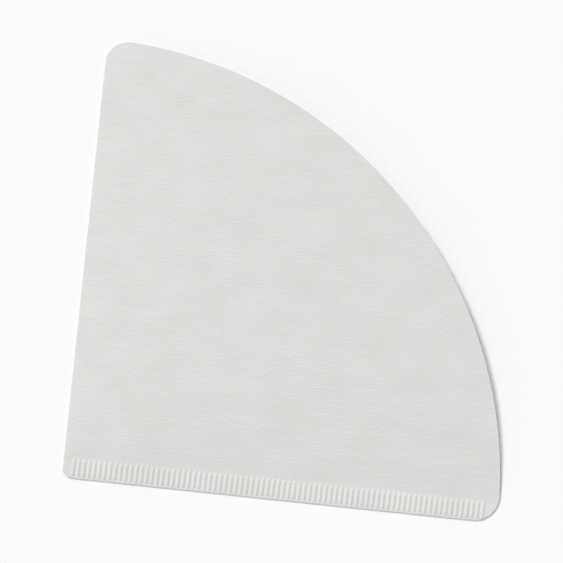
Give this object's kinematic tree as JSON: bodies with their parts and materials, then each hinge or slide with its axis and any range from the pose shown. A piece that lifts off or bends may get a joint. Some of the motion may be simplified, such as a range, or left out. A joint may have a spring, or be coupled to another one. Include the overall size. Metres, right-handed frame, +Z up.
{
  "type": "paper coffee filter",
  "caption": "Cone coffee filter of crepe paper, folded flat to a quarter-round fan, with a crimped seam along one side, a fold along the other and an open mouth.",
  "frame": {"origin": "on the underside of the lower leaf, under the middle of the folded filter's box", "axes": "+Z up out of the flat filter, +Y from the tip to the middle of the mouth, +X towards the end of the crimped seam, with the fold on the -X side"},
  "size_m": [0.1709, 0.124, 0.0035],
  "materials": {
    "filter_paper": "matt bleached crepe paper"
  },
  "bodies": {
    "root": {"cone_filter": "filter_paper"}
  },
  "joints": []
}
